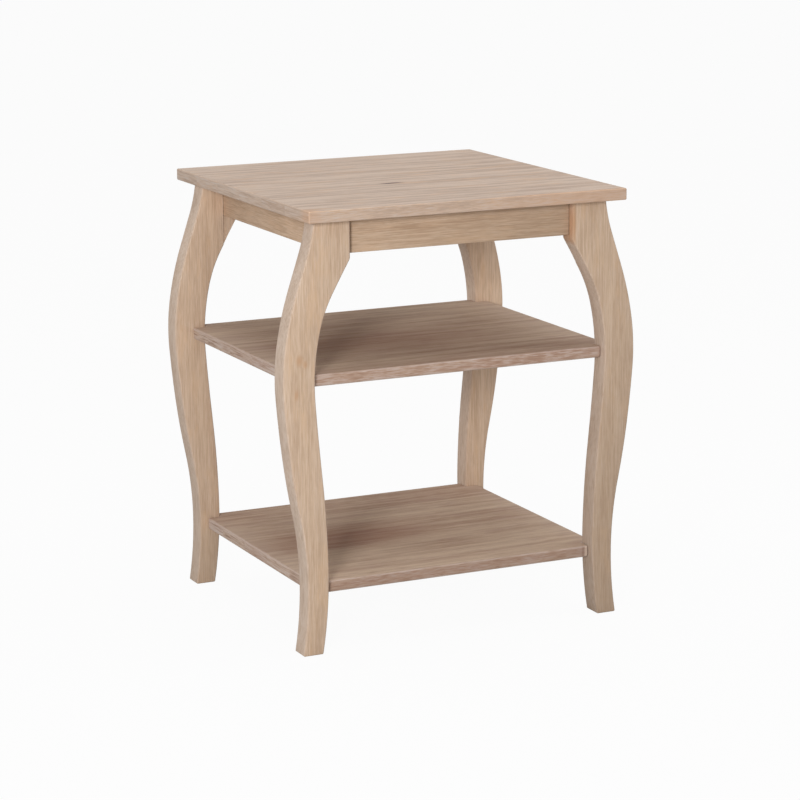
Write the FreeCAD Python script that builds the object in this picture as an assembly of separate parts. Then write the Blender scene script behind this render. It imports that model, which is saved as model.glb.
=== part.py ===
import FreeCAD, Part
import math
import os
from FreeCAD import Vector

# End table of solid wood with two notched shelves and four S-curved legs.
# Frame: origin on the floor under the middle of the top, +X to the right,
# +Y to the back, +Z up. Millimetres.

# ---------------------------------------------------------------- driving dimensions

# Top
table_height = 635.0
top_length = 495.0          # left to right
top_depth = 495.0           # front to back
top_thickness = 17.0
top_easing = 2.0            # radius of the top's arrises

# Legs: boards that curve in the left-right plane only
leg_thickness = 32.5        # front to back
end_overhang = 19.0         # top past the leg heads, left and right
front_overhang = 26.0       # top past the legs, front and back
head_width = 54.0
knee_drop = 6.0             # straight part of the head below the apron
knee_rounding = 9.0
leg_chamfer = 1.4           # arrises and foot

# Outer edge of the leg from the floor up: how far each station stands outside the
# head's outer corner, and how the edge leans outwards there, in degrees from plumb
foot_out = 23.0
foot_lean = -9.5            # the inner edge has the same lean at the floor
calf_out = 26.0
calf_lean = 11.6
calf_height = 204.0
belly_out = 47.7
belly_lean = 4.5
belly_height = 366.0
neck_out = 26.3
neck_lean = -18.3
neck_drop = 97.0            # below the underside of the top
head_lean = -6.0

# Inner edge: the same, outside the head's inner corner
inner_foot_out = 46.5
inner_calf_out = 45.2
inner_calf_lean = 5.9
inner_calf_height = 260.0
shoulder_out = 45.9
shoulder_lean = -13.3
shoulder_drop = 97.0        # below the knee
knee_lean = -30.3

# Rabbet on the inner face of the head, which seats the side apron
rabbet_width = 22.0
rabbet_depth = 3.0

# Aprons
apron_height = 50.5
apron_thickness = 19.0
apron_setback = 11.0        # front and back aprons behind the legs' outer faces
apron_easing = 1.5

# Shelves
middle_shelf_height = 401.0  # floor to upper face
bottom_shelf_height = 103.0
shelf_thickness = 17.0
shelf_ear_length = 20.0     # shelf past the legs' inner edges
shelf_ear_depth = 21.5      # shelf past the legs' inner faces
shelf_easing = 3.0
shelf_corner = 4.0          # radius of the outer corners, seen from above

# Corner blocks behind the aprons' corners
block_leg = 50.0            # along each apron
block_end = 8.0             # square ends of the block
block_height = 40.0
block_relief = 12.0         # cut across the inner corner, clear of the leg

# Hanger bolts through the corner blocks
bolt_diameter = 6.0
bolt_in_leg = 30.0
bolt_past_nut = 3.0
bolt_tip = 4.0
bolt_sides = 12             # flat sides that stand for the round of bolts and washers
nut_width = 10.0
nut_height = 5.0
washer_diameter = 14.0
washer_thickness = 1.5

# Wood screws
screw_diameter = 4.0
screw_head_diameter = 7.5
screw_head_height = 2.2
screw_tip = 4.0
screw_sides = 8             # the same for screws and their holes
block_screw_length = 22.0
block_screw_seat = 9.0      # wood between the screw's head and the apron
block_screw_place = 34.0    # along each apron from their inner corner
block_screw_rise = 12.0     # above the bolt
top_screw_length = 38.0
top_screw_bite = 11.0       # length inside the top
top_screw_near = 11.0       # from one apron
top_screw_far = 25.0        # from the other
shelf_screw_length = 32.0
shelf_screw_seat = 12.0     # length between the screw's head and the leg
shelf_screw_slope = 20.0    # degrees up from level
shelf_screw_pocket = 40.0   # length of the slanting pocket that the head sits in

# Clearances
joint_gap = 0.1             # between faces that meet
hole_gap = 0.1              # round a screw or bolt, on the radius
recess_gap = 1.0            # round a screw head in its recess, on the radius

# ---------------------------------------------------------------- derived places

leg_top = table_height - top_thickness
head_outer = top_length / 2 - end_overhang
head_inner = head_outer - head_width
leg_outer_face = top_depth / 2 - front_overhang
leg_inner_face = leg_outer_face - leg_thickness
rabbet_face = leg_inner_face + rabbet_depth
rabbet_shoulder = head_inner + rabbet_width
apron_bottom = leg_top - apron_height
knee_height = apron_bottom - knee_drop
neck_height = leg_top - neck_drop
shoulder_height = knee_height - shoulder_drop

back_apron_outer = leg_outer_face - apron_setback
back_apron_inner = back_apron_outer - apron_thickness
side_apron_outer = rabbet_shoulder - joint_gap
side_apron_inner = side_apron_outer - apron_thickness

block_bottom = leg_top - block_height
# From the aprons' inner corner: inwards to the block's diagonal face, outwards to the leg
block_face = (block_leg + block_end + 2 * joint_gap) / math.sqrt(2)
bolt_entry = (rabbet_face - back_apron_inner) * math.sqrt(2)
bolt_height = leg_top - block_height / 2
bolt_stack = washer_thickness + nut_height + bolt_past_nut
bolt_length = bolt_stack + block_face + bolt_entry + bolt_in_leg

LEFT, RIGHT = -1, 1
FRONT, BACK = -1, 1
SIDES = {"left": LEFT, "right": RIGHT}
ENDS = {"front": FRONT, "back": BACK}
UP = Vector(0, 0, 1)
OUTWARD = Vector(1, 1, 0).normalize()
TINY = 0.01                 # tolerance for picking edges


# ---------------------------------------------------------------- helpers

def box(low, high):
    """A box from its lowest to its highest corner."""
    size = Vector(*high) - Vector(*low)
    return Part.makeBox(size.x, size.y, size.z, Vector(*low))


def prism(points, bottom, height):
    """Extrudes a flat outline of (x, y) points upwards."""
    loop = [Vector(x, y, bottom) for x, y in points]
    return Part.Face(Part.makePolygon(loop + loop[:1])).extrude(Vector(0, 0, height))


def round_outline(radius, sides):
    """The corners of a regular polygon that stands for a circle."""
    turns = [math.radians(360 * (i + 0.5) / sides) for i in range(sides)]
    return [(radius * math.cos(turn), radius * math.sin(turn)) for turn in turns]


def rod(radius, length, sides, start=0.0):
    """A straight rod along +Z."""
    return prism(round_outline(radius, sides), start, length)


def tapered_end(radius, length, sides, start):
    """The end of a screw or bolt, along +Z."""
    loop = [Vector(x, y, start) for x, y in round_outline(radius, sides)]
    base = Part.makePolygon(loop + loop[:1])
    return Part.makeLoft([base, Part.Vertex(0, 0, start + length)], True, True)


def placed(solid, point, direction):
    """Turns a solid made along +Z to point along a direction from a point."""
    turned = solid.copy()
    turned.Placement = FreeCAD.Placement(point, FreeCAD.Rotation(UP, direction))
    return turned


def corner_copy(solid, side, end):
    """Mirrors a solid made for the back right corner to the corner asked for."""
    if side == LEFT:
        solid = solid.mirror(Vector(0, 0, 0), Vector(1, 0, 0))
    if end == FRONT:
        solid = solid.mirror(Vector(0, 0, 0), Vector(0, 1, 0))
    return solid


def both_sides(solids):
    return [corner_copy(solid, side, BACK) for side in SIDES.values() for solid in solids]


def both_ends(solids):
    return [corner_copy(solid, RIGHT, end) for end in ENDS.values() for solid in solids]


def every_corner(solids):
    return [corner_copy(solid, side, end) for end in ENDS.values()
            for side in SIDES.values() for solid in solids]


def cut(solid, tools):
    """Takes every tool out of a solid, which must stay in one piece."""
    [rest] = solid.cut(tools).Solids
    return rest


def is_level(edge, height):
    bounds = edge.BoundBox
    return bounds.ZLength < TINY and abs(bounds.ZMin - height) < TINY


def eased(solid, radius, wanted):
    """Rounds the edges that a test picks."""
    return solid.makeFillet(radius, [edge for edge in solid.Edges if wanted(edge)])


def save(name, solids):
    """Writes one node: a single solid, or a group of like fasteners."""
    shape = solids[0] if len(solids) == 1 else Part.makeCompound(solids)
    shape.exportStep("parts/%s.step" % name)


# ---------------------------------------------------------------- legs

def leaning(degrees):
    """The way an edge runs, going up, where it leans outwards by an angle."""
    angle = math.radians(degrees)
    return Vector(math.sin(angle), 0, math.cos(angle))


def tangent_arc(start, way, end):
    """The arc that leaves a point in a given way and ends at another point."""
    chord = end - start
    across = chord - way * chord.dot(way)
    if across.Length < TINY:
        return Part.makeLine(start, end)
    radius = chord.dot(chord) / (2 * across.Length)
    centre = start + across.normalize() * radius
    middle = centre + ((start + end) / 2 - centre).normalize() * radius
    return Part.Arc(start, middle, end).toShape()


def two_arcs(start, start_way, end, end_way):
    """Two arcs that meet smoothly, and lead from one point and way to another."""
    chord = end - start
    along = chord.dot(start_way + end_way)
    turn = 1 - start_way.dot(end_way)
    reach = chord.dot(chord) / (along + math.sqrt(along ** 2 + 2 * turn * chord.dot(chord)))
    meeting = (start + end + (start_way - end_way) * reach) / 2
    return [tangent_arc(start, start_way, meeting), tangent_arc(end, -end_way, meeting)]


def leg_edge_curve(corner, stations):
    """A smooth chain of arcs through stations of (height, out, lean), past a corner of the head."""
    points = [Vector(corner + out, leg_outer_face, height) for height, out, lean in stations]
    ways = [leaning(lean) for height, out, lean in stations]
    spans = zip(points, ways, points[1:], ways[1:])
    return points, [arc for span in spans for arc in two_arcs(*span)]


def leg_outline():
    """The S-curve of the back right leg, on its back face."""
    outer_points, outer_arcs = leg_edge_curve(head_outer, [
        (0, foot_out, foot_lean),
        (calf_height, calf_out, calf_lean),
        (belly_height, belly_out, belly_lean),
        (neck_height, neck_out, neck_lean),
        (leg_top, 0, head_lean),
    ])
    inner_points, inner_arcs = leg_edge_curve(head_inner, [
        (0, inner_foot_out, foot_lean),
        (inner_calf_height, inner_calf_out, inner_calf_lean),
        (shoulder_height, shoulder_out, shoulder_lean),
        (knee_height, 0, knee_lean),
    ])
    head_corner = Vector(head_inner, leg_outer_face, leg_top)
    straights = [
        Part.makeLine(outer_points[-1], head_corner),
        Part.makeLine(head_corner, inner_points[-1]),
        Part.makeLine(inner_points[0], outer_points[0]),
    ]
    return Part.Wire(Part.__sortEdges__(outer_arcs + inner_arcs + straights))


def make_leg():
    leg = Part.Face(leg_outline()).extrude(Vector(0, -leg_thickness, 0))
    leg = eased(leg, knee_rounding, lambda edge: is_level(edge, knee_height))
    arrises = [edge for edge in leg.Edges if is_level(edge, 0)
               or (edge.BoundBox.YLength < TINY and not is_level(edge, leg_top))]
    leg = leg.makeChamfer(leg_chamfer, arrises)
    rabbet = box((head_inner - 1, leg_inner_face - 1, shoulder_height),
                 (rabbet_shoulder, rabbet_face, leg_top + 1))
    return leg.cut(rabbet)


def leg_inner_edge(leg, low, high):
    """The x of the leg's inner edge between two heights, at its nearest to the middle."""
    slab = box((0, 0, low), (top_length, top_depth, high))
    return leg.common(slab).optimalBoundingBox(False, False).XMin


# ---------------------------------------------------------------- top, aprons and shelves

def make_top():
    top = box((-top_length / 2, -top_depth / 2, leg_top),
              (top_length / 2, top_depth / 2, table_height))
    return eased(top, top_easing, lambda edge: True)


def make_back_apron():
    """Butts between the inner edges of the two back legs' heads."""
    end = head_inner - joint_gap
    apron = box((-end, back_apron_inner, apron_bottom), (end, back_apron_outer, leg_top))
    return eased(apron, apron_easing, lambda edge: is_level(edge, apron_bottom)
                 and edge.BoundBox.XLength > apron_thickness)


def make_right_apron():
    """Seats in the rabbets of the front and back leg."""
    end = rabbet_face - joint_gap
    apron = box((side_apron_inner, -end, apron_bottom), (side_apron_outer, end, leg_top))
    return eased(apron, apron_easing, lambda edge: is_level(edge, apron_bottom)
                 and edge.BoundBox.YLength > apron_thickness)


def make_shelf(height, leg_edge):
    """A panel with a square notch round each leg."""
    bottom = height - shelf_thickness
    notch_x = leg_edge - joint_gap
    notch_y = leg_inner_face - joint_gap
    end = notch_x + shelf_ear_length
    side = notch_y + shelf_ear_depth
    notch = [(end, notch_y), (notch_x, notch_y), (notch_x, side)]
    outline = notch + [(-x, y) for x, y in reversed(notch)]
    outline += [(-x, -y) for x, y in outline]
    shelf = prism(outline, bottom, shelf_thickness)

    def is_outer_corner(edge):
        bounds = edge.BoundBox
        inside = abs(bounds.XMin) < notch_x + TINY and abs(bounds.YMin) < notch_y + TINY
        return bounds.ZLength > TINY and not inside

    shelf = eased(shelf, shelf_corner, is_outer_corner)
    return eased(shelf, shelf_easing, lambda edge: is_level(edge, bottom) or is_level(edge, height))


# ---------------------------------------------------------------- corner blocks

def make_block():
    """A six-sided block behind the back right corner of the aprons."""
    x = side_apron_inner - joint_gap
    y = back_apron_inner - joint_gap
    outline = [
        (x - block_relief, y),
        (x - block_leg, y),
        (x - block_leg, y - block_end),
        (x - block_end, y - block_leg),
        (x, y - block_leg),
        (x, y - block_relief),
    ]
    return prism(outline, block_bottom, block_height - joint_gap)


# ---------------------------------------------------------------- fasteners

def make_screw(length):
    """A wood screw along +Z, with the seat of its head at z = 0."""
    head = rod(screw_head_diameter / 2, screw_head_height, screw_sides, -screw_head_height)
    shank = rod(screw_diameter / 2, length - screw_tip, screw_sides)
    tip = tapered_end(screw_diameter / 2, screw_tip, screw_sides, length - screw_tip)
    return head.fuse([shank, tip]).removeSplitter()


def make_screw_hole(length, recess=0.0):
    """The hole for such a screw, and the recess that its head sits in."""
    hole = rod(screw_diameter / 2 + hole_gap, length + hole_gap, screw_sides)
    if recess:
        hole = hole.fuse(rod(screw_head_diameter / 2 + recess_gap, recess, screw_sides, -recess))
    return hole


def make_bolt():
    """A hanger bolt along +Z, with its wood end up."""
    shank = rod(bolt_diameter / 2, bolt_length - bolt_tip, bolt_sides)
    tip = tapered_end(bolt_diameter / 2, bolt_tip, bolt_sides, bolt_length - bolt_tip)
    return shank.fuse(tip)


def make_bolt_hole():
    return rod(bolt_diameter / 2 + hole_gap, bolt_length + hole_gap, bolt_sides)


def make_ring(outside, height):
    """A washer or a nut blank round the bolt."""
    return outside.cut(rod(bolt_diameter / 2 + hole_gap, height, bolt_sides))


def make_washer():
    disc = rod(washer_diameter / 2, washer_thickness, bolt_sides)
    return make_ring(disc, washer_thickness)


def make_nut():
    return make_ring(rod(nut_width / math.sqrt(3), nut_height, 6), nut_height)


# ---------------------------------------------------------------- places of the fasteners

def bolt_place(past_face):
    """A point on the back right bolt's axis, a distance past the block's diagonal face."""
    reach = block_face + past_face
    return Vector(side_apron_inner, back_apron_inner, bolt_height) - OUTWARD * reach


def block_screw_places():
    """Seat and direction of the screws into the side apron and the back apron."""
    height = bolt_height + block_screw_rise
    seat_x = side_apron_inner - joint_gap - block_screw_seat
    seat_y = back_apron_inner - joint_gap - block_screw_seat
    return [
        (Vector(seat_x, back_apron_inner - block_screw_place, height), Vector(1, 0, 0)),
        (Vector(side_apron_inner - block_screw_place, seat_y, height), Vector(0, 1, 0)),
    ]


def top_screw_places():
    seat = leg_top + top_screw_bite - top_screw_length
    near_x = side_apron_inner - top_screw_near
    near_y = back_apron_inner - top_screw_near
    far_x = side_apron_inner - top_screw_far
    far_y = back_apron_inner - top_screw_far
    return [(Vector(near_x, far_y, seat), UP), (Vector(far_x, near_y, seat), UP)]


def shelf_screw_place(height, leg_edge):
    """Seat and direction of the screw that slants up through a shelf's ear into the leg."""
    slope = math.radians(shelf_screw_slope)
    direction = Vector(0, math.cos(slope), math.sin(slope))
    joint = Vector(leg_edge + shelf_ear_length / 2, leg_inner_face, height - shelf_thickness / 2)
    return joint - direction * shelf_screw_seat, direction


# ---------------------------------------------------------------- making one corner

block_screws = [placed(make_screw(block_screw_length), *place) for place in block_screw_places()]
block_screw_holes = [placed(make_screw_hole(block_screw_length, block_leg), *place)
                     for place in block_screw_places()]
top_screws = [placed(make_screw(top_screw_length), *place) for place in top_screw_places()]
top_screw_holes = [placed(make_screw_hole(top_screw_length, block_height), *place)
                   for place in top_screw_places()]
bolt = placed(make_bolt(), bolt_place(bolt_stack), OUTWARD)
bolt_hole = placed(make_bolt_hole(), bolt_place(bolt_stack), OUTWARD)
nut = placed(make_nut(), bolt_place(washer_thickness + nut_height), OUTWARD)
washer = placed(make_washer(), bolt_place(washer_thickness), OUTWARD)

leg = make_leg()
shelf_heights = {"middle": middle_shelf_height, "bottom": bottom_shelf_height}
shelves = {}
shelf_screws = []
shelf_screw_holes = []
for shelf_name, height in shelf_heights.items():
    leg_edge = leg_inner_edge(leg, height - shelf_thickness, height)
    place = shelf_screw_place(height, leg_edge)
    hole = placed(make_screw_hole(shelf_screw_length, shelf_screw_pocket), *place)
    shelves[shelf_name] = cut(make_shelf(height, leg_edge), every_corner([hole]))
    shelf_screws.append(placed(make_screw(shelf_screw_length), *place))
    shelf_screw_holes.append(hole)

leg = cut(leg, [bolt_hole] + shelf_screw_holes)
block = cut(make_block(), [bolt_hole] + block_screw_holes + top_screw_holes)
back_apron = cut(make_back_apron(), both_sides([bolt_hole] + block_screw_holes))
right_apron = cut(make_right_apron(), both_ends([bolt_hole] + block_screw_holes))

# ---------------------------------------------------------------- the whole table

os.makedirs("parts", exist_ok=True)

save("table_top", [cut(make_top(), every_corner(top_screw_holes))])
for end_name, end in ENDS.items():
    save("apron_" + end_name, [corner_copy(back_apron, RIGHT, end)])
for side_name, side in SIDES.items():
    save("apron_" + side_name, [corner_copy(right_apron, side, BACK)])
for shelf_name, shelf in shelves.items():
    save("shelf_" + shelf_name, [shelf])
for end_name, end in ENDS.items():
    for side_name, side in SIDES.items():
        corner_name = "%s_%s" % (end_name, side_name)
        save("leg_" + corner_name, [corner_copy(leg, side, end)])
        save("corner_block_" + corner_name, [corner_copy(block, side, end)])
save("leg_bolts", every_corner([bolt]))
save("bolt_nuts", every_corner([nut]))
save("bolt_washers", every_corner([washer]))
save("block_screws", every_corner(block_screws))
save("top_screws", every_corner(top_screws))
save("shelf_screws", every_corner(shelf_screws))
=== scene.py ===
import math

import bpy
from mathutils import Matrix, Vector


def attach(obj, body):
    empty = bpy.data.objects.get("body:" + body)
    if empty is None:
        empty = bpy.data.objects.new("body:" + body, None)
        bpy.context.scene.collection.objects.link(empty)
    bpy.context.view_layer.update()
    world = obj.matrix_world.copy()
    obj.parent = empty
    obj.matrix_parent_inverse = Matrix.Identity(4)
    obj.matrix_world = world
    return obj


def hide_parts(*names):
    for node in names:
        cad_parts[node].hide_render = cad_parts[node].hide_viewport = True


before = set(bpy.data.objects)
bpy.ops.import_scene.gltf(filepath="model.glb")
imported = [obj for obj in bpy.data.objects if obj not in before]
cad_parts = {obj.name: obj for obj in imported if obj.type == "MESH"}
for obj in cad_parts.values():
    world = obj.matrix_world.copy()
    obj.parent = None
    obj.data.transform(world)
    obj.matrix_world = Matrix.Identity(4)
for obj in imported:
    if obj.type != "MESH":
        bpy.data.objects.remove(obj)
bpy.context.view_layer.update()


# ---------------------------------------------------------------- legs
# Four S-curved legs, each sawn from one board of limed wood, 32.5 mm thick, with straight
# grain running up it. The arrises are rounded over by hand, which rubs the finish warmer
# there, and the sawn curved edges hold more lime than the planed faces.

METRE = 1000.0              # in millimetres, the unit of the table's sizes and places


class Tone:
    """An output socket of a shader node. Python's operators on it add maths nodes."""

    def __init__(self, socket):
        self.socket = socket

    @staticmethod
    def node(tree, kind, settings=None, inputs=None, output=0):
        """Adds a node, sets it up, then fills its input sockets by name or number."""
        made = tree.nodes.new("ShaderNode" + kind)
        for setting, value in (settings or {}).items():
            setattr(made, setting, value)
        for place, value in (inputs or {}).items():
            if isinstance(value, Tone):
                tree.links.new(value.socket, made.inputs[place])
            else:
                made.inputs[place].default_value = value
        return Tone(made.outputs[output]) if made.outputs else None

    @staticmethod
    def mixed(tree, factor, first, second):
        """The first colour where factor is 0, and the second where it is 1.

        The Mix node's colours are its inputs 6 and 7, and its output 2.
        """
        return Tone.node(tree, "Mix", {"data_type": "RGBA"}, {0: factor, 6: first, 7: second}, 2)

    def maths(self, operation, first, second=0.0):
        """A Math node, or a Vector Math node where this socket is a vector."""
        kind = "Math" if self.socket.type == "VALUE" else "VectorMath"
        if kind == "VectorMath":
            first, second = ((value,) * 3 if isinstance(value, float) else value
                             for value in (first, second))
        return Tone.node(self.socket.id_data, kind, {"operation": operation},
                         {0: first, 1: second})

    def __add__(self, other):
        return self.maths("ADD", self, other)

    def __radd__(self, other):
        return self.maths("ADD", other, self)

    def __sub__(self, other):
        return self.maths("SUBTRACT", self, other)

    def __rsub__(self, other):
        return self.maths("SUBTRACT", other, self)

    def __mul__(self, other):
        return self.maths("MULTIPLY", self, other)

    def __rmul__(self, other):
        return self.maths("MULTIPLY", other, self)

    def __truediv__(self, other):
        return self.maths("DIVIDE", self, other)

    def __rtruediv__(self, other):
        return self.maths("DIVIDE", other, self)

    def __pow__(self, other):
        return self.maths("POWER", self, other)

    def __rpow__(self, other):
        return self.maths("POWER", other, self)

    def __neg__(self):
        return self.maths("MULTIPLY", self, -1.0)

    def __abs__(self):
        return self.maths("ABSOLUTE", self)

    def __floor__(self):
        return self.maths("FLOOR", self)

    def rise(self, low, high):
        """0 below low, 1 above high, and a smooth rise between."""
        return Tone.node(self.socket.id_data, "MapRange", {"interpolation_type": "SMOOTHSTEP"},
                         {"Value": self, "From Min": low, "From Max": high})


def blank_tree(owner):
    """Empties the node tree of a material or of a world, and returns it."""
    owner.use_nodes = True
    owner.node_tree.nodes.clear()
    return owner.node_tree


def colour(red, green, blue):
    """A colour for a shader from screen values of 0 to 255, by the screen's own curve."""
    screen = [value / 255.0 for value in (red, green, blue)]
    return tuple([value / 12.92 if value < 0.04 else ((value + 0.055) / 1.055) ** 2.4
                  for value in screen] + [1.0])


def toned(base, factor):
    """The same colour, lighter or darker."""
    return tuple([value * factor for value in base[:3]] + [1.0])


# How the rings of every wood here stray from true circles
RING_WANDER_ACROSS = 46.0   # over the length of a board
RING_WANDER_THROUGH = 20.0
RING_SWAY = 9.0             # over a hand's breadth
RING_JITTER = 1.3           # in ring widths
LATEWOOD_SHARE = 0.33       # of a ring
LATEWOOD_PORES = 0.25       # beside as many as the open wood has
END_DRAW = 0.96             # how far the plane has drawn end grain out into streaks

# How one board, or one stave of a glued-up board, differs from the next
BOARD_DRIFT = 7.3           # through the log, in sizes of the pattern
STAVE_DRIFT = 40.0
STAVE_JUMP = 3000.0         # along the log
STAVE_CHANCES = (0.31, 7.77, 3.13)  # seeds for a stave's jump, depth and tone
STAVE_PITH_SPREAD = 46.0    # of the pith, across the stave
STAVE_PITH_DEPTHS = (0.6, 0.9)  # least share of the pith's depth, and what chance adds
STAVE_CONTRAST = 0.25
GLUE_LINE = 0.35            # half its width

# How the grain runs and colours at a knot, in the knot's own radii
KNOT_REACH = 3.0            # out to where the rings bend round it
KNOT_BEND = 1.2             # in ring widths
KNOT_CORE = (0.1, 1.2)      # where its colour starts to fade, and where it has gone
KNOT_RAGGEDNESS = 1.5
RAGGED_MOST = 6.0           # in millimetres

# How strongly each mark colours the wood, from 0 to 1
WARM_PATCHES = 0.55
HAZE = 0.9
SMEAR_SHADOWS = 0.7
FINE_LIME = 0.3
PORE_MARKS = 0.3
GLUE_MARKS = 0.3
# the painted shadow along the joints of rails and legs
PAINTED_SEAM_SHADOW = 0.6
LIMED_END_HAZE = 0.15
LIMED_END_FIBRES = 1.4      # how much more the fibres hold there
PATCHY_SMEARS = 0.4         # how much the lime gathers in patches
PATCHY_RUBBING = 1.6

# How light the darkest marks are, beside the wood's deep tone
SMEAR_SHADOW_TONE = 0.8
# the painted shadow along joints
SEAM_TONE = 0.3
# the painted shade towards a leg's foot
FOOT_TONE = 0.4

LIMED_END_WIDTH = 45.0
SEAM_WIDTH = (2.0, 0.4)     # from the joint to where its painted shadow line starts, and is full
FOOT_SHADE_TOP = 600.0      # where a leg's painted shade towards its foot fades out
PORE_DEPTH = 0.05           # heights for the bump, in millimetres
FIBRE_DEPTH = 0.06
STREAK_DEPTH = 0.03
BUMP_STRENGTH = 0.5
ROUGHNESS = 0.72
FIBRE_ROUGHNESS = 0.2
PORE_ROUGHNESS = 0.1
ARRIS_POLISH = 0.06
SPECULAR = 0.1


def limed_wood(name, axes, pale, deep, warm, lime, rubbed, pith, ring_width, seed,
               bands, streaks, fibres, ring_marks, zones=0.0, streak_length=200.0,
               shade=1.0, stave_width=0.0, stave_start=0.0, knots_and_painted_light=(),
               warmth=(0.0, 0.0, 0.0), film=(0.0, 0.0, 0.0), smears=(0.0, 0.2, 0.0),
               rubbing=0.5, curved=False, foot_depth=0.0, limed_ends=0.0, seam=0.0):
    """Wood as a solid pattern in millimetres: growth rings, streaks, fibres, pores and lime.

    axes names the directions along the grain, across the board's face and through it. pith is
    where the rings' centre lies, across and through, from the floor's middle or, in a glued-up
    board, from the middle of each stave. bands, streaks, fibres, ring_marks and zones are the
    strengths of what shades the wood: soft bands, long streaks, short fibres, growth rings and
    wide zones. Each entry in the list of knots and painted light gives a mark's place along and
    across, its radius, how far it is drawn out along the grain, its strength and its colour; the
    marks are knots and stains, and also painted shadows and a painted highlight. warmth, film
    and smears say how warm the bare wood is, how thick the lime's haze is and how much lime has
    stayed in streaks, on faces that look along x, y and z. rubbing is how bare the arrises are,
    and curved is for a board sawn to a curve. foot_depth darkens a leg towards its foot as
    painted shade, limed_ends is where the lime thickens towards a board's ends, and seam is how
    far along it a painted shadow line runs across it, at a joint.
    """
    material = bpy.data.materials.new(name)
    tree = blank_tree(material)
    pale, deep, warm, lime, rubbed = (
        toned(base, shade) for base in (pale, deep, warm, lime, rubbed))

    def node(*words, **more):
        return Tone.node(tree, *words, **more)

    def mixed(factor, first, second):
        return Tone.mixed(tree, factor, first, second)

    def part(vector, axis):
        """How much of a vector lies along one axis."""
        unit = tuple(float(letter == axis) for letter in "xyz")
        return node("VectorMath", {"operation": "DOT_PRODUCT"}, {0: vector, 1: unit}, "Value")

    def by_facing(amounts):
        """Amounts for the faces that look along x, y and z, as one value."""
        return sum(amount * face for amount, face in zip(amounts, facing))

    def noise(turn, sizes, detail=2.0, roughness=0.5):
        """Cloudy noise around 0, stretched to sizes along, across and through the grain.

        turn moves it to another part of the noise, so that no two of them line up.
        """
        shift = seed + turn
        place = node("CombineXYZ", inputs={
            "X": along / sizes[0] + shift, "Y": sideways / sizes[1] + shift * 1.7,
            "Z": through / sizes[2] + drift})
        return node("TexNoise", inputs={"Vector": place, "Scale": 1.0, "Detail": detail,
                                        "Roughness": roughness}) - 0.5

    spot = node("TexCoord", output="Object") * METRE
    length, across, through = (part(spot, axis) for axis in axes)
    normal = node("TexCoord", output="Normal")
    facing = [abs(part(normal, axis)) for axis in "xyz"]
    end_grain = facing["xyz".index(axes[0])].rise(0.5, 0.95)

    # On the end grain the plane has drawn the streaks out along the edge
    sideways = across * (1.0 - end_grain * END_DRAW)

    # Glued-up boards are made of staves, each from another log
    if stave_width:
        count = (across - stave_start) / stave_width
        stave = math.floor(count)
        inside = count - stave
        jump, depth, tone = (
            node("TexWhiteNoise", {"noise_dimensions": "1D"}, {"W": stave + (seed + turn)})
            for turn in STAVE_CHANCES)
        along = length + jump * STAVE_JUMP
        drift = depth * STAVE_DRIFT + seed
        stave_shade = tone - 0.5
        ring_across = (inside - 0.5) * stave_width - (jump - 0.5) * STAVE_PITH_SPREAD - pith[0]
        ring_through = through - pith[1] * (depth * STAVE_PITH_DEPTHS[1] + STAVE_PITH_DEPTHS[0])
        joint = abs(inside - 0.5).rise(0.5 - GLUE_LINE / stave_width, 0.5)
    else:
        along = length
        drift = seed * BOARD_DRIFT
        stave_shade = 0.0
        ring_across = across - pith[0]
        ring_through = through - pith[1]

    # Growth rings round the pith, which wander along the log
    wander = noise(0.0, (260.0, 70.0, 70.0))
    sway = noise(4.0, (90.0, 26.0, 26.0))
    ring_across = ring_across + wander * RING_WANDER_ACROSS + sway * RING_SWAY
    ring_through = ring_through + wander * RING_WANDER_THROUGH
    distance = (ring_across * ring_across + ring_through * ring_through) ** 0.5
    rings = distance / ring_width + noise(9.0, (160.0, 9.0, 9.0), detail=1.0) * RING_JITTER

    # The rings bend round a knot, and round a painted shadow too, and each mark's core waits to be
    # coloured until the lime is on
    cores = []
    for knot_length, knot_across, radius, stretch, strength, core_colour in knots_and_painted_light:
        away = (((length - knot_length) / stretch) ** 2.0
                + (across - knot_across) ** 2.0) ** 0.5
        near = 1.0 - (away / radius).rise(0.0, KNOT_REACH)
        rings = rings + near * near * KNOT_BEND
        ragged = away + sway * min(RAGGED_MOST, radius * KNOT_RAGGEDNESS)
        cores.append(((1.0 - (ragged / radius).rise(*KNOT_CORE)) * strength, core_colour))

    # Each ring is open and porous at first, and dense and dark at last
    phase = rings - math.floor(rings)
    latewood = phase ** 1.8 * (1.0 - phase.rise(0.86, 1.0))
    earlywood = 1.0 - phase.rise(0.1, 0.55)

    # Marks along the grain, from wide to fine
    patch = noise(5.0, (46.0, 15.0, 15.0))
    band = noise(1.0, (streak_length * 1.6, 12.0, 9.0), roughness=0.55)
    streak = noise(2.0, (streak_length, 1.9, 1.6), detail=3.0, roughness=0.6)
    smear = noise(7.0, (18.0, 1.4, 1.6), detail=3.0, roughness=0.6)
    fine_lime = noise(8.0, (60.0, 1.0, 1.0), roughness=0.6).rise(0.08, 0.2)
    fibre = noise(3.0, (30.0, 1.2, 0.9), roughness=0.6)
    pore = (noise(6.0, (11.0, 0.6, 0.5), detail=1.0).rise(0.1, 0.17)
            * (earlywood * (1.0 - LATEWOOD_PORES) + LATEWOOD_PORES))

    # The bare wood
    shading = (0.5 + stave_shade * STAVE_CONTRAST + band * bands + streak * streaks
               + fibre * fibres + (latewood - LATEWOOD_SHARE) * ring_marks + wander * zones)
    tint = mixed(shading.rise(0.0, 1.0), pale, deep)
    tint = mixed((patch + band * 0.5).rise(0.0, 0.26) * WARM_PATCHES + by_facing(warmth),
                 tint, warm)

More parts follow.
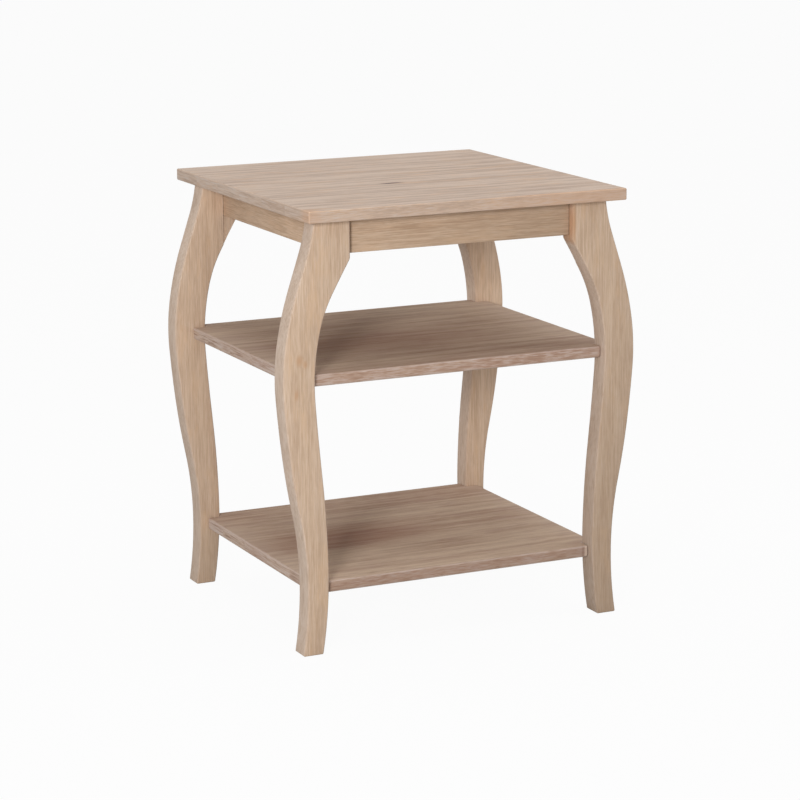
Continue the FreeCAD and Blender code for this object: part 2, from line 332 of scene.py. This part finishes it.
    # Lime: an even haze, then streaks of it with bare wood between them
    smeared = by_facing(smears)
    tint = mixed(by_facing(film) * (HAZE + fibre), tint, lime)
    tint = mixed(smeared * (-smear - patch * PATCHY_SMEARS).rise(-0.02, 0.2) * SMEAR_SHADOWS,
                 tint, toned(deep, SMEAR_SHADOW_TONE))
    tint = mixed(smeared * (smear + patch * PATCHY_SMEARS).rise(-0.04, 0.18), tint, lime)

    # Knots and stains, painted shadows and a painted highlight, and the fine lime and the pores
    # that run through them too
    for core, core_colour in cores:
        tint = mixed(core, tint, core_colour)
    tint = mixed(fine_lime * FINE_LIME, tint, lime)
    tint = mixed(pore * PORE_MARKS, tint, deep)

    # Arrises, where the faces turn. A curved board's edge faces x and z by turns, so only
    # its turn away from y counts.
    if curved:
        arris = facing[1].rise(0.15, 0.6) * (1.0 - facing[1].rise(0.8, 0.98))
    else:
        arris = 1.0 - (facing[0] ** 6.0 + facing[1] ** 6.0 + facing[2] ** 6.0).rise(0.3, 0.95)
    tint = mixed(arris * (rubbing + patch * PATCHY_RUBBING + fibre), tint, rubbed)

    # Glue lines, limed ends, the painted shadow along joints and the painted shade towards a foot
    if stave_width:
        tint = mixed(joint * GLUE_MARKS, tint, deep)
    if limed_ends:
        tint = mixed(abs(length).rise(limed_ends, limed_ends + LIMED_END_WIDTH)
                     * (LIMED_END_HAZE + fibre * LIMED_END_FIBRES), tint, lime)
    # Painted shadow: a dark line where the rail meets a leg, where shade falls in the joint
    if seam:
        tint = mixed(abs(length).rise(seam - SEAM_WIDTH[0], seam - SEAM_WIDTH[1]) * PAINTED_SEAM_SHADOW,
                     tint, toned(deep, SEAM_TONE))
    # Painted shade: the leg darkens towards its foot, where less light falls
    if foot_depth:
        tint = mixed((1.0 - length / FOOT_SHADE_TOP) * foot_depth, tint, toned(deep, FOOT_TONE))

    height = (1.0 - pore) * PORE_DEPTH + fibre * FIBRE_DEPTH + streak * STREAK_DEPTH
    bump = node("Bump", inputs={
        "Strength": BUMP_STRENGTH, "Distance": 1.0 / METRE, "Height": height})
    roughness = (ROUGHNESS + fibre * FIBRE_ROUGHNESS + pore * PORE_ROUGHNESS
                 - arris * ARRIS_POLISH)
    surface = node("BsdfPrincipled", inputs={
        "Base Color": tint, "Roughness": roughness, "Specular IOR Level": SPECULAR,
        "Normal": bump})
    node("OutputMaterial", inputs={"Surface": surface})
    return material


MERGE_DISTANCE = 0.01 / METRE
FLAT_WITHIN = math.radians(0.3)
ARRIS_SHARPNESS = math.radians(35.0)
ARRIS_BEVEL = 0.8 / METRE
SMOOTH_WITHIN = math.radians(32.0)


def picked(piece):
    """Makes a piece the only one that operators act on."""
    bpy.ops.object.select_all(action="DESELECT")
    piece.select_set(True)
    bpy.context.view_layer.objects.active = piece


def softened(node_name):
    """Stands a copy in for a solid, with its meshing merged and its arrises rounded off."""
    piece = bpy.data.objects.new(node_name + "_shaped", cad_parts[node_name].data.copy())
    bpy.context.collection.objects.link(piece)
    picked(piece)
    bpy.ops.object.mode_set(mode="EDIT")
    bpy.ops.mesh.select_all(action="SELECT")
    bpy.ops.mesh.customdata_custom_splitnormals_clear()
    bpy.ops.mesh.remove_doubles(threshold=MERGE_DISTANCE)
    bpy.ops.mesh.dissolve_limited(angle_limit=FLAT_WITHIN)
    bpy.ops.mesh.normals_make_consistent(inside=False)
    bpy.ops.object.mode_set(mode="OBJECT")
    bevel = piece.modifiers.new("arris", "BEVEL")
    bevel.limit_method = "ANGLE"
    bevel.angle_limit = ARRIS_SHARPNESS
    bevel.width = ARRIS_BEVEL
    bevel.segments = 2
    bpy.ops.object.modifier_apply(modifier=bevel.name)
    bpy.ops.object.shade_smooth_by_angle(angle=SMOOTH_WITHIN)
    piece.data.materials.clear()
    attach(piece, "root")
    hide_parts(node_name)
    return piece


LEG_TONES = {"pale": colour(208, 182, 157), "deep": colour(185, 157, 132),
             "warm": colour(207, 174, 141), "lime": colour(218, 201, 188),
             "rubbed": colour(194, 165, 139)}
LEG_KNOT = colour(188, 144, 106)
LEG_STAIN = colour(186, 138, 98)

# Each leg's board: where its pith lay, how light it is, how much painted shade darkens it towards
# its foot, and its knots. The back legs are made lighter as painted light, for the light that
# reaches them under the top
LEG_BOARDS = {
    "front_left": {"pith": (-262.0, -120.0), "shade": 1.01, "foot_depth": 0.06,
                   "knots_and_painted_light": [(425.0, -253.0, 7.0, 1.4, 0.55, LEG_KNOT),
                             (419.0, -244.0, 3.5, 1.8, 0.5, LEG_KNOT),
                             (377.0, -258.0, 4.8, 2.8, 0.65, LEG_KNOT)]},
    "front_right": {"pith": (226.0, -150.0), "shade": 1.0, "foot_depth": 0.4,
                    "knots_and_painted_light": [(584.0, 175.0, 6.0, 9.0, 0.75, LEG_STAIN)]},
    "back_left": {"pith": (-250.0, 130.0), "shade": 1.09, "foot_depth": 0.24},
    "back_right": {"pith": (270.0, 160.0), "shade": 1.16, "foot_depth": 0.24}}
for number, (corner, board) in enumerate(LEG_BOARDS.items()):
    leg = softened("leg_" + corner)
    leg.data.materials.append(limed_wood(
        "leg_wood_" + corner, axes="zxy", **LEG_TONES, **board, ring_width=3.6,
        seed=11.0 + number, bands=1.2, streaks=2.08, fibres=1.82, ring_marks=0.14,
        streak_length=120.0, film=(0.5, 0.0, 0.0), smears=(0.6, 0.14, 0.2), rubbing=0.25,
        curved=True))


# ---------------------------------------------------------------- aprons
# Four rails of the same wood, 19 mm thick, under the top. The front and back rails butt
# between the legs' heads, set back behind their faces, and the side rails seat in rabbets.

APRON_TONES = {"pale": colour(204, 177, 152), "deep": colour(168, 140, 115),
               "warm": colour(196, 164, 135), "lime": colour(212, 196, 178),
               "rubbed": LEG_TONES["rubbed"]}
APRON_PITH_HEIGHT = 560.0
APRON_PITH_STEP = 9.0       # from one rail's board to the next
APRON_PITH_DEPTH = 96.0     # so far behind a rail that its rings show as straight lines
BUTTED_END = 174.4          # from a rail's middle to where it meets a leg
SEATED_END = 189.0
# The side rails are made lighter, as painted light for the light that reaches them less. seam is
# where the painted shadow runs at the joint with a leg.
APRON_RAILS = {
    "front": {"axes": "xzy", "shade": 1.0, "seam": BUTTED_END},
    "back": {"axes": "xzy", "shade": 1.0, "seam": BUTTED_END},
    "left": {"axes": "yzx", "shade": 1.16, "seam": SEATED_END},
    "right": {"axes": "yzx", "shade": 1.1, "seam": SEATED_END}}
for number, (name, rail) in enumerate(APRON_RAILS.items()):
    apron = softened("apron_" + name)
    apron.data.materials.append(limed_wood(
        "apron_wood_" + name, **APRON_TONES, **rail,
        pith=(APRON_PITH_HEIGHT + APRON_PITH_STEP * number, APRON_PITH_DEPTH),
        ring_width=4.6, seed=21.0 + number, bands=0.36, streaks=0.96, fibres=1.12,
        ring_marks=0.15, zones=0.3, streak_length=110.0, smears=(0.18, 0.12, 0.3),
        rubbing=0.2))


# ---------------------------------------------------------------- corner blocks
# Six-sided blocks of bare sawn wood, screwed behind the corners of the aprons. The bolt
# that draws the leg in passes through the block's diagonal face.

ENDS = ("front", "back")
SIDES = ("left", "right")


def finished(node_name, material):
    """Gives a CAD solid its material."""
    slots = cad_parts[node_name].data.materials
    slots.clear()
    slots.append(material)


BLOCK_PALE = colour(196, 172, 140)
BLOCK_DEEP = colour(160, 130, 98)
block_wood = limed_wood(
    "block_wood", axes="zxy", pale=BLOCK_PALE, deep=BLOCK_DEEP, warm=BLOCK_DEEP,
    lime=BLOCK_PALE, rubbed=BLOCK_PALE, pith=(40.0, 30.0), ring_width=2.6, seed=31.0,
    bands=1.2, streaks=1.28, fibres=1.4, ring_marks=0.7)
for end in ENDS:
    for side in SIDES:
        finished("corner_block_%s_%s" % (end, side), block_wood)


# ---------------------------------------------------------------- top
# A square top 17 mm thick, glued up from six staves with their grain from left to right.
# Lime has stayed in the pores of the end grain, and one small knot has opened a little.

TOP_SIDE = 495.0
TOP_STAVES = 6
TOP_TONES = {"pale": colour(205, 185, 169), "deep": colour(180, 159, 144),
             "warm": colour(206, 172, 142), "lime": colour(204, 190, 180),
             "rubbed": colour(212, 184, 158)}
TOP_KNOT = colour(78, 66, 72)
TOP_STAIN = colour(204, 160, 126)
TOP_MARKS = [(-31.0, -46.0, 4.2, 5.0, 1.0, TOP_KNOT),
             (170.0, -TOP_SIDE / 2.0, 7.0, 22.0, 0.5, TOP_STAIN),
             (-TOP_SIDE / 2.0, -240.0, 24.0, 1.0, 0.5, TOP_STAIN)]
finished("table_top", limed_wood(
    "top_wood", axes="xyz", **TOP_TONES, pith=(0.0, 560.0), ring_width=3.8, seed=41.0,
    stave_width=TOP_SIDE / TOP_STAVES, stave_start=-TOP_SIDE / 2.0, knots_and_painted_light=TOP_MARKS,
    bands=3.84, streaks=2.08, fibres=2.52, ring_marks=0.16, zones=0.7, streak_length=140.0,
    warmth=(0.3, 0.55, 0.0), film=(0.1, 0.0, 0.0), smears=(0.85, 0.8, 0.2), rubbing=0.2))


# ---------------------------------------------------------------- shelves
# Two shelves glued up in the same way, each notched round the legs, which its ears clasp.
# Lime has stayed thick in the sawn grain of their edges.

SHELF_DEPTH = 421.0
SHELF_FRONT = -SHELF_DEPTH / 2.0
SHELF_STAVES = 5
SHELF_TONES = {"pale": colour(208, 186, 163), "deep": colour(160, 128, 109),
               "warm": colour(172, 141, 125), "lime": colour(196, 178, 167),
               "rubbed": colour(196, 178, 167)}
# A painted shadow: the brown zone where the front left leg and the top shade each shelf
SHELF_PAINTED_SHADOW = colour(132, 78, 58)
SHELF_EDGE = colour(112, 84, 70)
# Lime with a painted highlight, for the lit rounded end of the bottom shelf's ear
SHELF_LIME_AND_HIGHLIGHT = colour(214, 196, 178)

# Each shelf's boards: how light they are, and their marks, which are a wide brown zone of
# painted shadow where the front left leg and the top shade the shelf, a dark front edge, and on
# one ear a spot of painted shadow beside the leg and a tick of lime with a painted highlight
SHELF_BOARDS = {
    "middle": {"shade": 1.05,
               "knots_and_painted_light": [(-50.0, -38.0, 108.0, 2.3, 0.42, SHELF_PAINTED_SHADOW),
                         (0.0, SHELF_FRONT, 2.6, 200.0, 0.08, SHELF_EDGE)]},
    "bottom": {"shade": 1.08,
               "knots_and_painted_light": [(-90.0, -5.0, 84.0, 2.0, 0.52, SHELF_PAINTED_SHADOW),
                         (0.0, SHELF_FRONT, 3.4, 200.0, 0.42, SHELF_EDGE),
                         # On the ear beside the front right leg, a spot of painted shadow and a
                         # tick of lime with a painted highlight
                         (202.0, SHELF_FRONT, 2.4, 1.0, 0.5, SHELF_EDGE),
                         (207.5, SHELF_FRONT, 2.8, 1.0, 0.8, SHELF_LIME_AND_HIGHLIGHT)]}}
for number, (name, boards) in enumerate(SHELF_BOARDS.items()):
    finished("shelf_" + name, limed_wood(
        "shelf_wood_" + name, axes="xyz", **SHELF_TONES, **boards, pith=(0.0, 60.0),
        ring_width=3.8, seed=51.0 + number, stave_width=SHELF_DEPTH / SHELF_STAVES,
        stave_start=SHELF_FRONT, bands=1.08, streaks=0.32, fibres=0.98, ring_marks=0.08,
        zones=0.5, streak_length=120.0, warmth=(0.25, 0.45, 0.0), film=(0.1, 0.0, 0.0),
        smears=(1.4, 1.1, 0.15), rubbing=0.4, limed_ends=185.0))


# ---------------------------------------------------------------- leg bolts
# One zinc-plated M6 hanger bolt a corner. Its coarse end is screwed into the leg's head,
# its fine end comes out through the corner block, and a washer and a hexagon nut pull it up.

def turned(name, stations, sides, ring=False):
    """Turns a piece round Z: a disc, or a ring, drawn out through (height, radius) stations."""
    height, radius = stations[0]
    bpy.ops.object.select_all(action="DESELECT")
    bpy.ops.mesh.primitive_circle_add(
        vertices=sides, radius=radius / METRE, fill_type="NOTHING" if ring else "NGON",
        location=(0.0, 0.0, height / METRE))
    piece = bpy.context.object
    piece.name = name
    bpy.ops.object.mode_set(mode="EDIT")
    bpy.ops.mesh.select_all(action="SELECT")
    for next_height, next_radius in stations[1:]:
        bpy.ops.mesh.extrude_region_move(
            TRANSFORM_OT_translate={"value": (0.0, 0.0, (next_height - height) / METRE)})
        bpy.ops.transform.resize(value=(next_radius / radius, next_radius / radius, 1.0))
        height, radius = next_height, next_radius
    bpy.ops.mesh.select_all(action="SELECT")
    bpy.ops.mesh.remove_doubles(threshold=0.001 / METRE)
    bpy.ops.mesh.normals_make_consistent(inside=False)
    bpy.ops.object.mode_set(mode="OBJECT")
    bpy.ops.object.transform_apply(location=True, rotation=True, scale=True)
    return piece


def thread(low, high, pitch, root, crest):
    """Stations for a thread's ridges, each up from the root to the crest and down again."""
    ridge_profile = ((0.1, root), (0.5, crest), (0.65, crest), (0.95, root))
    ridges = int((high - low) / pitch)
    return [(low + pitch * (ridge + part), radius)
            for ridge in range(ridges) for part, radius in ridge_profile]


CLOUD_TONE = 0.72           # of the plating's darker clouds, beside its base colour
SCUFF_ROUGHNESS = 0.3


def zinc_plate(name, base, rough):
    """Zinc plating, with faint clouds in its colour and light scuffs in its gloss."""
    material = bpy.data.materials.new(name)
    tree = blank_tree(material)
    spot = Tone.node(tree, "TexCoord", output="Object") * METRE
    cloud = Tone.node(tree, "TexNoise", inputs={"Vector": spot, "Scale": 0.5, "Detail": 3.0}) - 0.5
    scuff = Tone.node(tree, "TexNoise", inputs={"Vector": spot, "Scale": 4.0, "Detail": 2.0}) - 0.5
    tint = Tone.mixed(tree, (cloud + scuff * 0.5 + 0.5).rise(0.2, 0.8), base,
                      toned(base, CLOUD_TONE))
    surface = Tone.node(tree, "BsdfPrincipled", inputs={
        "Base Color": tint, "Metallic": 1.0, "Roughness": rough + scuff * SCUFF_ROUGHNESS})
    Tone.node(tree, "OutputMaterial", inputs={"Surface": surface})
    return material


ROUND_WITHIN = math.radians(25.0)


def fitted(pattern, node_name, places, steel):
    """Puts copies of a fastener in all four corners, from its places in the back right one."""
    picked(pattern)
    bpy.ops.object.shade_smooth_by_angle(angle=ROUND_WITHIN)
    for end in ENDS:
        for side in SIDES:
            flip = Vector((1.0 if side == "right" else -1.0, 1.0 if end == "back" else -1.0, 1.0))
            for number, (place, direction) in enumerate(places):
                turn = Vector((0.0, 0.0, 1.0)).rotation_difference(Vector(direction) * flip)
                copy = bpy.data.objects.new(
                    "%s_%s_%s_%d" % (pattern.name, end, side, number + 1), pattern.data.copy())
                bpy.context.collection.objects.link(copy)
                copy.data.transform(Matrix.Translation(Vector(place) * flip / METRE)
                                    @ turn.to_matrix().to_4x4())
                copy.data.materials.clear()
                copy.data.materials.append(steel)
                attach(copy, "root")
                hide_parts(node_name)
    bpy.data.objects.remove(pattern)


INTO_LEG = (math.sqrt(0.5), math.sqrt(0.5), 0.0)
BOLT_PLACE = (141.5825, 155.6825, 598.0)
NUT_PLACE = (143.7038, 157.8038, 598.0)
WASHER_PLACE = (147.2393, 161.3393, 598.0)
bright_zinc = zinc_plate("bright_zinc", colour(204, 200, 190), 0.32)

BOLT_LENGTH = 81.36
BOLT_CREST = 3.0            # radius of both threads
BOLT_SHANK = 2.95
FINE_END = 30.0             # length of the machine thread, from the nut's end
FINE_PITCH = 1.0
FINE_ROOT = 2.6
SHANK_END = FINE_END + 16.0
COARSE_PITCH = 2.6
COARSE_ROOT = 2.2
COARSE_END = BOLT_LENGTH - 5.5
bolt = turned("leg_bolt", [(0.0, 2.2), (0.5, 2.7)]
              + thread(0.6, FINE_END, FINE_PITCH, FINE_ROOT, BOLT_CREST)
              + [(FINE_END, 2.7), (FINE_END + 0.4, BOLT_SHANK), (SHANK_END, BOLT_SHANK)]
              + thread(SHANK_END + 0.5, COARSE_END, COARSE_PITCH, COARSE_ROOT, BOLT_CREST)
              + [(COARSE_END, COARSE_ROOT), (BOLT_LENGTH - 0.2, 0.3)], sides=16)
fitted(bolt, "leg_bolts", [(BOLT_PLACE, INTO_LEG)], bright_zinc)

WASHER_HOLE = 3.15          # radius
WASHER_RIM = 7.0
WASHER_EDGE = 6.85          # radius of its flat faces, inside the rounded rim
WASHER_THICKNESS = 1.5
washer = turned("bolt_washer", [
    (0.0, WASHER_HOLE), (0.0, WASHER_EDGE), (0.2, WASHER_RIM), (WASHER_THICKNESS - 0.2, WASHER_RIM),
    (WASHER_THICKNESS, WASHER_EDGE), (WASHER_THICKNESS, WASHER_HOLE), (0.0, WASHER_HOLE)],
    sides=32, ring=True)
fitted(washer, "bolt_washers", [(WASHER_PLACE, INTO_LEG)], bright_zinc)

NUT_HEIGHT = 5.0
NUT_WALL = 5.0              # half the width across the flats
NUT_FACE = 4.7              # radius of its end faces, inside the chamfers
NUT_HOLE = 3.1
NUT_MOUTH = 3.5             # radius of the countersink of the hole
NUT_CHAMFER = 0.6
NUT_SINK = 0.4              # depth of the countersink
nut = turned("bolt_nut", [
    (NUT_SINK, NUT_HOLE), (0.0, NUT_MOUTH), (0.0, NUT_FACE), (NUT_CHAMFER, NUT_WALL),
    (NUT_HEIGHT - NUT_CHAMFER, NUT_WALL), (NUT_HEIGHT, NUT_FACE), (NUT_HEIGHT, NUT_MOUTH),
    (NUT_HEIGHT - NUT_SINK, NUT_HOLE), (NUT_SINK, NUT_HOLE)], sides=24, ring=True)

# The nut's round wall is drawn out into six flats, with a corner every 60 degrees
for vertex in nut.data.vertices:
    if vertex.co.xy.length * METRE > (NUT_FACE + NUT_WALL) / 2.0:
        turn = (math.degrees(math.atan2(vertex.co.y, vertex.co.x)) + 30.0) % 60.0 - 30.0
        reach = NUT_WALL / METRE / math.cos(math.radians(turn))
        vertex.co.xy *= reach / vertex.co.xy.length
fitted(nut, "bolt_nuts", [(NUT_PLACE, INTO_LEG)], bright_zinc)


# ---------------------------------------------------------------- wood screws
# Small zinc-plated screws with cross recesses in their heads: through the corner blocks into
# the aprons and up into the top, and in slanting pockets under the shelves' ears.

SCREW_SHANK = 1.8           # radius
SCREW_HEAD = [(-2.2, 2.5), (-2.0, 3.1), (-1.5, 3.55), (-0.7, 3.75), (-0.2, 3.75), (0.0, 3.6),
              (0.0, 2.0), (0.6, SCREW_SHANK)]
SCREW_ROOT = 1.35
SCREW_CREST = 2.0
SCREW_PITCH = 1.8
SCREW_TIP = 4.5
RECESS_WIDTH = 0.8          # of each arm of the cross
RECESS_REACH = 1.9          # from the screw's axis to the end of an arm
RECESS_PLACE = -2.0         # height of the cross's middle
RECESS_STRETCH = 2.4        # how far the cross is drawn out along the screw
RECESS_TAPER = 0.55         # its size at the bottom, beside its size at the top
yellow_zinc = zinc_plate("yellow_zinc", colour(206, 192, 158), 0.34)


def wood_screw(name, length, plain):
    """A screw with its shank plain below the head, then threaded to its point."""
    thread_end = length - SCREW_TIP
    screw = turned(name, SCREW_HEAD + [(plain, SCREW_SHANK)]
                   + thread(plain + 0.4, thread_end, SCREW_PITCH, SCREW_ROOT, SCREW_CREST)
                   + [(thread_end, SCREW_ROOT), (length - 0.2, 0.2)], sides=12)
    bpy.ops.object.select_all(action="DESELECT")
    bpy.ops.mesh.primitive_cube_add(size=RECESS_WIDTH / METRE,
                                    location=(0.0, 0.0, RECESS_PLACE / METRE))
    cross = bpy.context.object
    bpy.ops.object.mode_set(mode="EDIT")
    bpy.ops.mesh.select_all(action="DESELECT")
    bpy.ops.object.mode_set(mode="OBJECT")
    for face in cross.data.polygons:
        face.select = abs(face.normal.z) < 0.5
    bpy.ops.object.mode_set(mode="EDIT")
    bpy.ops.mesh.extrude_faces_move(TRANSFORM_OT_shrink_fatten={
        "value": -(RECESS_REACH - RECESS_WIDTH / 2.0) / METRE})
    bpy.ops.mesh.select_all(action="SELECT")
    bpy.ops.transform.resize(value=(1.0, 1.0, RECESS_STRETCH))
    bpy.ops.mesh.normals_make_consistent(inside=False)
    bpy.ops.object.mode_set(mode="OBJECT")
    for vertex in cross.data.vertices:
        if vertex.co.z > 0.0:
            vertex.co.xy *= RECESS_TAPER
    recess = screw.modifiers.new("recess", "BOOLEAN")
    recess.object = cross
    recess.operation = "DIFFERENCE"
    recess.solver = "EXACT"
    picked(screw)
    bpy.ops.object.modifier_apply(modifier=recess.name)
    bpy.data.objects.remove(cross)
    return screw


INTO_SIDE_APRON = (1.0, 0.0, 0.0)
INTO_BACK_APRON = (0.0, 1.0, 0.0)
UPWARDS = (0.0, 0.0, 1.0)
SHELF_SLOPE = math.radians(20.0)
INTO_SHELF_EAR = (0.0, math.cos(SHELF_SLOPE), math.sin(SHELF_SLOPE))
BLOCK_SCREW_PLACES = [((168.3, 157.5, 610.0), INTO_SIDE_APRON),
                      ((143.4, 182.4, 610.0), INTO_BACK_APRON)]
TOP_SCREW_PLACES = [((166.4, 166.5, 591.0), UPWARDS), ((152.4, 180.5, 591.0), UPWARDS)]
SHELF_SCREW_PLACES = [((239.173, 177.7237, 388.3958), INTO_SHELF_EAR),
                      ((221.5493, 177.7237, 90.3958), INTO_SHELF_EAR)]
fitted(wood_screw("block_screw", length=22.0, plain=6.0), "block_screws", BLOCK_SCREW_PLACES,
       yellow_zinc)
fitted(wood_screw("top_screw", length=38.0, plain=14.0), "top_screws", TOP_SCREW_PLACES,
       yellow_zinc)
fitted(wood_screw("shelf_screw", length=32.0, plain=10.0), "shelf_screws", SHELF_SCREW_PLACES,
       yellow_zinc)


# ---------------------------------------------------------------- studio
# A pale floor that shows white apart from the table's soft shadow, an even white
# surround, and large soft lamps overhead, to the front left and to the right.

FLOOR_SIZE = 60.0           # in metres, as all sizes and places from here on
WHITE = (1.0, 1.0, 1.0, 1.0)
PAPER = (0.6, 0.6, 0.6, 1.0)
PAPER_GLOW = 0.955          # how much of the floor shows white, whatever light it has
SURROUND = 0.36             # how strongly the surround lights the table


def seen_rays(tree):
    """1 for what is seen, straight, in a mirror or through glass, and 0 for other light."""
    return sum(Tone.node(tree, "LightPath", output=ray)
               for ray in ("Is Camera Ray", "Is Glossy Ray", "Is Transmission Ray"))


bpy.ops.mesh.primitive_plane_add(size=FLOOR_SIZE)
floor = bpy.context.object
floor.name = "floor"
paper = bpy.data.materials.new("floor_paper")
tree = blank_tree(paper)
matt = Tone.node(tree, "BsdfDiffuse", inputs={"Color": PAPER})
glow = Tone.node(tree, "Emission", inputs={"Color": WHITE, "Strength": 1.0})
lit = Tone.node(tree, "MixShader", inputs={0: seen_rays(tree) * PAPER_GLOW, 1: matt, 2: glow})
Tone.node(tree, "OutputMaterial", inputs={"Surface": lit})
floor.data.materials.append(paper)

world = bpy.data.worlds.new("surround")
bpy.context.scene.world = world
tree = blank_tree(world)
sky = Tone.node(tree, "Background", inputs={
    "Color": WHITE, "Strength": seen_rays(tree) * (1.0 - SURROUND) + SURROUND})
Tone.node(tree, "OutputWorld", inputs={"Surface": sky})

LAMP_TARGET = Vector((0.0, 0.0, 0.3))


def soft_lamp(name, place, size, power):
    """A square lamp that looks at the middle of the table."""
    lamp = bpy.data.lights.new(name, "AREA")
    lamp.shape = "SQUARE"
    lamp.size = size
    lamp.energy = power
    holder = bpy.data.objects.new(name, lamp)
    bpy.context.scene.collection.objects.link(holder)
    holder.location = place
    holder.rotation_euler = (LAMP_TARGET - Vector(place)).to_track_quat("-Z", "Y").to_euler()


soft_lamp("overhead_lamp", (0.0, 0.0, 3.0), size=2.5, power=30.0)
soft_lamp("front_left_lamp", (-2.3, -3.0, 1.3), size=0.7, power=84.0)
soft_lamp("right_lamp", (2.7, -0.8, 2.1), size=1.6, power=18.0)


# ---------------------------------------------------------------- camera
# A long lens, some four metres off, that looks down on the table's front left corner and
# shows it nearly without convergence.

CAMERA_PLACE = (-1.73636, -3.65421, 1.19295)
CAMERA_HEADING = 25.485     # degrees to the right of straight back
CAMERA_DIP = 12.421         # degrees below the horizon
CAMERA_ROLL = -0.294
LENS_LENGTH = 125.05        # in millimetres, as the sensor
SENSOR_WIDTH = 36.0
lens = bpy.data.cameras.new("camera")
lens.lens = LENS_LENGTH
lens.sensor_width = SENSOR_WIDTH
camera = bpy.data.objects.new("camera", lens)
bpy.context.scene.collection.objects.link(camera)
camera.matrix_world = (Matrix.Translation(CAMERA_PLACE)
                       @ Matrix.Rotation(math.radians(-CAMERA_HEADING), 4, "Z")
                       @ Matrix.Rotation(math.radians(90.0 - CAMERA_DIP), 4, "X")
                       @ Matrix.Rotation(math.radians(CAMERA_ROLL), 4, "Z"))
bpy.context.scene.camera = camera
bpy.context.scene.view_settings.view_transform = "Standard"
